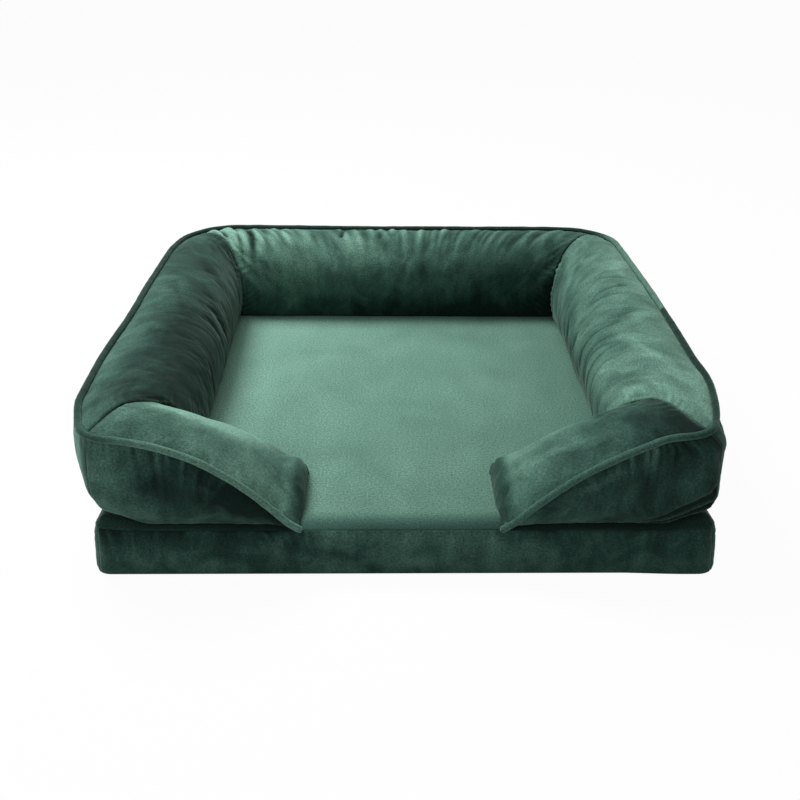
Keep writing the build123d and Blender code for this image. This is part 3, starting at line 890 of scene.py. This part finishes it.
def corner_gathers(along_share, up_share, along, up):
    """Upright gathers in the rear top, deep near its left corner and few further on."""
    waver = gather_waver * uneven(along * gather_waves[0], up * gather_waves[1], 2.6)
    place = along + rear_mitre_run * up_share + waver
    fold = sum(depth * math.exp(-(((place - middle) / width) ** 2)) for middle, width, depth in rear_gathers)
    near_corner = eased(along_share, 0.26, 0.10)
    fade = eased(up_share, 0.30 + 0.40 * near_corner, 0.25) * eased(up_share, 0.0, 0.10)
    fade *= eased(along, 0.0, 0.016)
    rest = eased(along_share, 0.99, 0.85) * eased(up_share, 0.55, 0.15) * eased(up_share, 0.0, 0.12)
    fine = 2.2 * abs(uneven(along / fine_gather_pitch, up * fine_gather_change, 9.1)) - 0.6
    return fade * (gather_puff * near_corner - gather_depth * fold) + fine_gather_depth * rest * fine


# The rolls over the lifted foot: height above the foot, thickness, waver and depth.
rolls = ((0.026, 0.0060, 0.003, 0.0055), (0.054, 0.0070, -0.003, 0.00495))
roll_waves, rolls_meet_floor, rolls_fade, rolls_end = 30, 0.15, 0.07, 0.125


def foot_rolls(along_share, up_share, along, up):
    """Rolls of cloth over the lifted foot at a front corner, running out along the front."""
    height = up / max(1 - along / rolls_meet_floor, 0.1)
    wave = uneven(along * roll_waves, 0, 5.5)
    depth = sum(
        deep * math.exp(-(((height + waver * wave - middle) / thick) ** 2))
        for middle, thick, waver, deep in rolls
    )
    return -depth * eased(along, rolls_end, rolls_fade)


tuck_depth, tuck_width, tuck_place, tuck_slant = 0.0040, 0.010, (0.925, 0.93), 0.10


def end_tuck(along_share, up_share, along, up):
    """A small tuck where a wing's end meets the mattress, at its inner corner."""
    line = along_share - tuck_place[0] - tuck_slant * (tuck_place[1] - up_share)
    return -tuck_depth * math.exp(-((line / tuck_width) ** 2)) * eased(up_share, 0.70, 0.86)


# Painted light and shade: how much lighter or darker the pile's colour is made, in the nap's shares.
front_shade, crest_light, inner_foot_shade = 0.30, 0.34, 0.30
rear_light, rear_corner_light, gather_light = 0.16, 0.20, 60


def left_front_sweep(along_share, up_share, along, up):
    """Darker pile under the piping in the middle of the left wing's front, painted as shade."""
    return -front_shade * eased(along_share, 0.10, 0.32) * eased(up_share, 0.20, 0.60)


def left_crest_sweep(along_share, up_share, along, up):
    """A painted highlight on the crest of the left wing, where the window's light falls."""
    crest = eased(up_share, 0.25, 0.45) * eased(up_share, 0.80, 0.60)
    return crest_light * crest * eased(along_share, 0.02, 0.12) * eased(along_share, 0.75, 0.45)


def right_foot_sweep(along_share, up_share, along, up):
    """Painted shade along the right bolster's inner foot, where it turns under."""
    return -inner_foot_shade * eased(up_share, 0.66, 0.86) * eased(along_share, 0.95, 0.75)


def rear_sweep(along_share, up_share, along, up):
    """Painted light on the rear top over its crown, and most of all on the ridges of its gathers."""
    band = rear_light * eased(up_share, 0.10, 0.35) * eased(up_share, 0.90, 0.70)
    at_corner = eased(along_share, 0.16, 0.04) * eased(up_share, 0.35, 0.15)
    gathered = gather_light * corner_gathers(along_share, up_share, along, up)
    return band + rear_corner_light * at_corner + gathered


wing_outer, wing_top = section_columns(wing_cut, wing_run)
side_outer, side_top = section_columns(side_cut, side_run)
rear_outer, rear_top = section_columns(rear_cut, rear_run)
painted_end_shade = 0.30
# Each bolster panel's nap paints light and shade on it along with the lean of its pile.
for side in ("left", "right"):
    on_left = side == "left"
    turned = list if on_left else mirrored
    sewn_panel(
        side + "_wing_front_panel", turned(wing_end(wing_outer, False)), bolster_middle,
        ease=(0.008, 0, 0.004), swell=0.006, gathers=(0.0016, 0.0080, 0.0026, 0.0008),
        nap_and_painted_light=(0.40, 0.64, 0.10, 0.10) if on_left else (0.06, 0.08, 0.46, 0.40),
        crease=None if on_left else foot_rolls, sweep=left_front_sweep if on_left else None,
    )
    wing_top_cloth = sewn_panel(
        side + "_wing_top_panel", turned(wing_end(wing_top, True)), bolster_middle,
        ease=(0.010, 0.005, 0.004), swell=0.006, gathers=(0.0014, 0.0026, 0.0040, 0.0008),
        nap_and_painted_light=(0.46, 1.00, 0.64, 0.70) if on_left else (-0.12, 0.52, 0.66, 0.98),
        crease=end_tuck, sweep=left_crest_sweep if on_left else None,
    )
    # Painted shade on the turned-down end of each wing top.
    lie = wing_top_cloth.data.attributes["nap_and_painted_light"].data
    for v in wing_top_cloth.data.vertices:
        rolled = eased(abs(v.co.x), tip + 0.006, tip - 0.012)
        lie[v.index].value = between(lie[v.index].value, painted_end_shade, rolled)
    sewn_panel(
        side + "_bolster_outer_panel", turned(side_outer), bolster_middle,
        ease=(0, 0.008, 0.004), swell=0.007, gathers=(0.0012, 0.0024, 0.0018, 0.0018),
        nap_and_painted_light=(0.55, 0.60, 0.45, 0.45) if on_left else (0.45, 0.40, 0.50, 0.50),
    )
    seam_gathers = 0.0007 if on_left else 0.0010
    sewn_panel(
        side + "_bolster_top_panel", turned(side_top), bolster_middle,
        ease=(0.004, 0.010, 0.004), swell=0.007, gathers=(0.0012, seam_gathers, 0.0046, 0.0046),
        nap_and_painted_light=(0.54, -0.56, 0.32, -0.26) if on_left else (0.86, 0.60, 0.74, 0.30),
        crease=arching(0.0008, 0.017) if on_left else arching(0.0030, 0.038),
        sweep=None if on_left else right_foot_sweep,
    )
band_overlap, rear_outer_rows = 0.006, 24
outer_foot = seat + foot_rise - band_overlap
rear_outer = [
    spaced([p for p in column if p.z > outer_foot], rear_outer_rows + 1) for column in rear_outer
]
sewn_panel(
    "rear_bolster_outer_panel", rear_outer, bolster_middle, ease=(0.008, 0, 0.004), swell=0.006,
    nap_and_painted_light=(0.5, 0.55, 0.5, 0.55), gathers=(0.0010, 0.0024, 0.0020, 0.0020),
)
sewn_panel(
    "rear_bolster_top_panel", rear_top, bolster_middle, ease=(0.010, 0.004, 0.004), swell=0.007,
    nap_and_painted_light=(0.92, 0.26, 0.42, -0.22), gathers=(0.0022, 0.0010, 0.0030, 0.0040),
    crease=corner_gathers, sweep=rear_sweep,
)

# Foot band: a flat strip of the velvet under the rear bolster, sewn to the mattress cover.
# It holds the zip that the bolster is filled through.
band_zip_middle = (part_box("bolster_zip_tape_lower")[0].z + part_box("bolster_zip_tape_upper")[1].z) / 2
first_stop, last_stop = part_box("bolster_zip_end_stops")
band_zip_low, band_zip_high = first_stop.x - 0.002, last_stop.x + 0.001
band_window_half = 0.0066
pull_low, pull_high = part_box("bolster_zip_pull")
pull_reach = pull_high.x - pull_low.x
pressed_in, press_run = 0.0018, 0.01


def zip_end_rest(along_share, up_share, along, up):
    """The band is pressed flat past the zip's closed end, where the pull comes to lie."""
    x = (along_share - 0.5) * 2 * half_width
    past_end = eased(x, band_zip_low - pull_reach, band_zip_low - pull_reach + press_run)
    past_end *= eased(x, band_zip_low + press_run, band_zip_low)
    return -pressed_in * past_end * eased(abs(up_share - 0.5), 0.48, 0.30)


def in_band_window(place):
    at_zip = abs(place.z - band_zip_middle) < band_window_half
    return at_zip and band_zip_low < place.x < band_zip_high


sewn_panel(
    "rear_foot_band", wall_columns("rear", seat, seat + foot_rise, rows=12), beside_wall,
    ease=(0.004, 0, 0.002), swell=0.0015, nap_and_painted_light=(0.45, 0.5, 0.45, 0.5),
    gathers=(0.0004, 0.0004, 0.0006, 0.0006), crease=zip_end_rest, open_at=in_band_window,
)

# Filling: pressed in through the zips, it swells every panel between its seams, and the
# extra cloth gathers along them.
scene = bpy.context.scene
sewing_frames, settling_frames = 8, 12
filling_push, cloth_quality, cloth_stiffness = 9.0, 5, 0.6
deepest_sink, give_past_swell, clear_of_seat = 0.0015, 0.25, 0.0005
for piece, key, *_ in sewn_panels:
    for closed_share, number in ((0, 1), (1, sewing_frames)):
        key.value = closed_share
        key.keyframe_insert("value", frame=number)
    cloth = piece.modifiers.new("filling", "CLOTH").settings
    cloth.vertex_group_mass = "seams"
    cloth.use_pressure = True
    cloth.uniform_pressure_force = filling_push
    cloth.effector_weights.gravity = 0
    cloth.quality = cloth_quality
    cloth.bending_stiffness = cloth_stiffness
for number in range(1, sewing_frames + settling_frames + 1):
    scene.frame_set(number)
depsgraph = bpy.context.evaluated_depsgraph_get()
for piece, _, sewn, outward, edge, swell, _ in sewn_panels:
    pressed = bpy.data.meshes.new_from_object(piece.evaluated_get(depsgraph))
    piece.modifiers.clear()
    piece.shape_key_clear()
    pressed.name = piece.name
    piece.data = pressed
    on_bolster = "wing" in piece.name or "bolster" in piece.name
    for v, place, normal in zip(pressed.vertices, sewn, outward):
        move = v.co - place
        sink = -move.dot(normal) - deepest_sink
        if sink > 0:
            move += normal * sink
        if move.length > swell:
            move *= (swell + (move.length - swell) * give_past_swell) / move.length
        v.co = place + move
        if place.z > seat and v.index not in edge:
            v.co.z = max(v.co.z, seat + clear_of_seat)
        if on_bolster:
            v.co = leaned(v.co)

# Folds: each panel's mesh is made finer, and its gathers and creases are laid in it. Its
# colour gets painted light on a ridge and painted shade in a valley and along a seam.
seam_shade, base_shade_share, seam_shadow_width = 0.30, 0.2, 0.006
ridge_light = 75
for piece, *_ in sewn_panels:
    smooth = piece.modifiers.new("smooth", "SUBSURF")
    smooth.levels = smooth.render_levels = 1
depsgraph = bpy.context.evaluated_depsgraph_get()
for piece, *_, folds in sewn_panels:
    finer = bpy.data.meshes.new_from_object(piece.evaluated_get(depsgraph))
    piece.modifiers.clear()
    finer.name = piece.name
    piece.data = finer
    on_base = "boxing" in piece.name or "band" in piece.name
    deepest_shade = seam_shade * (base_shade_share if on_base else 1.0)
    starts, feet, lie = (finer.attributes[kind].data for kind in ("from_start", "from_foot", "nap_and_painted_light"))
    normals = [v.normal.copy() for v in finer.vertices]
    for v, normal in zip(finer.vertices, normals):
        lift, near, painted_sweep = folds(starts[v.index].value, feet[v.index].value)
        v.co += normal * lift
        shade = deepest_shade * (1 - eased(near, 0, seam_shadow_width))
        lie[v.index].value += painted_sweep + lift * ridge_light - shade
    finer.shade_smooth()

for piece in [panel[0] for panel in sewn_panels] + [top_cloth, bottom_cloth]:
    thick = piece.modifiers.new("thickness", "SOLIDIFY")
    thick.thickness = cloth_thickness
    thick.offset = -1

# Piping: a cotton cord in a bias-cut velvet sleeve, sewn into the seam between the outer
# panels and the tops, from the end of one wing round the back to the end of the other.
piping_radius, cord_radius, flange_width = 0.0053, 0.0031, 0.0105
piping_out, piping_up, piping_up_behind = 0.0030, 0.0010, 0.0028
rail_step, piping_waver, waver_scale, lump_scale = 0.0025, 0.0008, 28, 60
tube_weld = 0.00005
end_angles, end_offset = (90, 50, 25), Vector((0.003, 0.003, -0.004))
wing_steps, side_steps, rear_steps = 30, 50, 60


def rail_point(cut, share, side=1, angle=0.0):
    """The piping's middle: just outside and above the seam it is sewn into."""
    outer, top = cut(share)
    seam = turned_down(outer[-1], angle, 0) if angle else outer[-1]
    out = outer[-1] - top[len(top) // 2]
    out.z = 0
    above = piping_up + piping_up_behind * eased(seam.y, 0.30, 0.42)
    place = seam + out.normalized() * piping_out + Vector((0, 0, above))
    place.x *= side
    return leaned(place)


def side_rail(side):
    """The piping's middle down one side, from the end of its wing to the rear corner."""
    line = [rail_point(wing_cut, 1, side, math.radians(angle)) for angle in end_angles]
    line += [rail_point(wing_cut, 1 - i / wing_steps, side) for i in range(wing_steps)]
    line += [rail_point(side_cut, i / side_steps, side) for i in range(side_steps)]
    return [line[0] + end_offset * Vector((side, 1, 1))] + line


rear_rail = [rail_point(rear_cut, i / rear_steps) for i in range(rear_steps + 1)]
rail = side_rail(1) + rear_rail + side_rail(-1)[::-1]
rail_steps = spaced(rail, round(length_of(rail) / rail_step))
wavering = [p + Vector((0, 0, piping_waver * noise.noise(p * waver_scale))) for p in rail_steps]


def closed_skin(loops, weld):
    """A skin over loops of points, joined to itself and closed at both ends."""
    shape = cloth_grid(loops)[0]
    bmesh.ops.remove_doubles(shape, verts=shape.verts, dist=weld)
    bmesh.ops.holes_fill(shape, edges=[e for e in shape.edges if e.is_boundary], sides=0)
    bmesh.ops.recalc_face_normals(shape, faces=shape.faces)
    return shape


def tube_along(points, radius, sides, lumps=0.0):
    """A tube round a line of points. Its UV is in metres."""
    rings = []
    for i, place in enumerate(points):
        ahead = (points[min(i + 1, len(points) - 1)] - points[max(i - 1, 0)]).normalized()
        out = ahead.cross(Vector((0, 0, 1))).normalized()
        up = out.cross(ahead)
        swell = radius * (1 + lumps * noise.noise(place * lump_scale))
        angles = [math.tau * k / sides for k in range(sides + 1)]
        rings.append([place + (out * math.cos(a) + up * math.sin(a)) * swell for a in angles])
    return closed_skin(rings, tube_weld)


piping_velvet = velvet(
    "piping_velvet", patch_scale=40, patch_depth=0.25, sheen=0.30, streak=(1, 0.35, 1)
)


def piping_nap_and_shade(place):
    """How light the piping is painted by where it runs: its pile's turn with its sewing, and painted light
    and shade.
    """
    x, y, _ = place
    if x < 0:
        along = between(0.14, 0.16, eased(y, 0.30, 0.42))
        front = between(0.30, 0.70, eased(x, -0.45, -0.36))
    else:
        along = 0.08 if y < 0.0 else between(0.66, 0.16, eased(y, 0.38, 0.43))
        front = between(0.20, 0.46, eased(x, 0.44, 0.34))
    return between(along, front, eased(y, -0.37, -0.42))


tube = tube_along(wavering, piping_radius, sides=14, lumps=0.07)
pile = tube.verts.layers.float["nap_and_painted_light"]
for v in tube.verts:
    v[pile] = piping_nap_and_shade(v.co)
sleeve = new_piece("piping_sleeve_velvet", tube, piping_velvet)
built_in(sleeve, "piping_sleeve")
flange_ends, flange_droop, cord_ends = 8, Vector((0, 0, 0.25)), 4
flange_columns = []
for place in wavering[flange_ends:-flange_ends]:
    inwards = bolster_middle(place) - place
    inwards.z = 0
    inwards = (inwards.normalized() - flange_droop).normalized()
    flange_columns.append([place + inwards * flange_width * share for share in (0, 0.33, 0.67, 1)])
# The flange is painted at the darkest nap, as shade, where it shows under the piping.
shape, width, height = cloth_grid(flange_columns, nap_and_painted_light=(0, 0, 0, 0))
flange = new_piece("piping_flange", shape, bolster_velvet)
built_in(flange, "piping_sleeve")
cord_material = plain_material(
    "cotton_cord", grain=(400, 2, 0, (1, 0.3, 1)), bump=(0.5, 0.0005), roughness=0.9,
    shades=((0.3, (0.55, 0.52, 0.45)), (0.7, (0.78, 0.76, 0.70))), coordinates="UV",
)
cord_shape = tube_along(wavering[cord_ends:-cord_ends:2], cord_radius, sides=10)
cord = new_piece("piping_cord_core", cord_shape, cord_material)
built_in(cord, "piping_cord")

# Inserts: five bags of white non-woven lining, stuffed with fibre, one in each section of
# the bolster. They lie loose, so that they can be taken out for a wash.
lining = plain_material(
    "non_woven_lining", grain=(260, 4, 1), bump=(0.4, 0.0006), roughness=0.9,
    shades=((0.3, (0.66, 0.66, 0.65)), (0.7, (0.86, 0.86, 0.85))),
)
insert_step, insert_sides, insert_size, insert_taper = 0.012, 48, 0.82, 0.08
first_share, clear_of_cover, insert_weld = 0.02, 0.001, 0.0001


def insert(name, cut, length, last_share, flip=1):
    """A stuffed bag a little smaller than its section, flat where it rests."""
    count = round(length / insert_step)
    loops = []
    for i in range(count + 1):
        outer, top = cut(first_share + (last_share - first_share) * i / count)
        loop = outer + top[1:]
        middle = sum(loop, Vector()) / len(loop)
        squeeze = insert_size - insert_taper * abs(2 * i / count - 1) ** 6
        points = [middle + (p - middle) * squeeze + Vector((0, 0, clear_of_cover)) for p in loop]
        points = spaced(points + [points[0]], insert_sides + 1)
        lowest = seat + clear_of_cover
        loops.append([leaned(Vector((p.x * flip, p.y, max(p.z, lowest)))) for p in points])
    bag = new_piece(name + "_bag", closed_skin(loops, insert_weld), lining)
    built_in(bag, name)


for side, flip in (("left", 1), ("right", -1)):
    insert(side + "_wing_insert", wing_cut, wing_run, 0.94, flip)
    insert(side + "_bolster_insert", side_cut, side_run, 0.98, flip)
insert("rear_bolster_insert", rear_cut, rear_run, 0.98)

# Zips: moulded plastic teeth on woven tape, with an enamelled slider and pull. The tapes
# are sewn behind the cloth, one above the other.
tape = plain_material(
    "zip_tape_weave", grain=(500, 1, 0, (1, 1, 0.4)), bump=(0.5, 0.0003), roughness=0.85,
    shades=((0.3, (0.010, 0.032, 0.024)), (0.7, (0.022, 0.055, 0.043))),
)
plastic = plain_material(
    "moulded_teeth", grain=(900, 2), bump=(0.15, 0.0001), roughness=0.38,
    shades=((0.3, (0.010, 0.030, 0.023)), (0.7, (0.016, 0.042, 0.033))),
)
enamel = plain_material(
    "enamelled_zinc", grain=(300, 3), bump=(0.12, 0.0002), roughness=0.28, metallic=0.35,
    shades=((0.35, (0.012, 0.034, 0.026)), (0.75, (0.030, 0.060, 0.050))),
)
zip_finishes = {
    "tape_upper": tape, "tape_lower": tape, "teeth_upper": plastic, "teeth_lower": plastic,
    "end_stops": plastic, "slider": enamel, "pull": enamel,
}
fold_overlap, fold_thickness, fold_wave = 0.001, 0.0008, 0.0002
for fastener in ("base_zip", "bolster_zip"):
    for part, material in zip_finishes.items():
        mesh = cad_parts[fastener + "_" + part].data
        mesh.materials.clear()
        mesh.materials.append(material)
    # Past each stop the two tapes are folded over each other and sewn shut.
    lower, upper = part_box(fastener + "_tape_lower"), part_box(fastener + "_tape_upper")
    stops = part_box(fastener + "_end_stops")
    for end, near_x, far_x in (("open", stops[1].x, lower[1].x), ("closed", lower[0].x, stops[0].x)):
        fold = bmesh.new()
        bmesh.ops.create_grid(fold, x_segments=12, y_segments=4, size=0.5)
        for v in fold.verts:
            along, across = v.co.x + 0.5, v.co.y + 0.5
            v.co = Vector((
                between(near_x, far_x, along),
                lower[0].y + fold_thickness + fold_wave * math.sin(math.tau * 2 * along),
                between(lower[1].z - fold_overlap, upper[0].z + fold_overlap, across),
            ))
        bmesh.ops.solidify(fold, geom=fold.faces, thickness=fold_thickness)
        bmesh.ops.recalc_face_normals(fold, faces=fold.faces)
        built_in(new_piece(fastener + "_tape_fold_" + end, fold, tape))
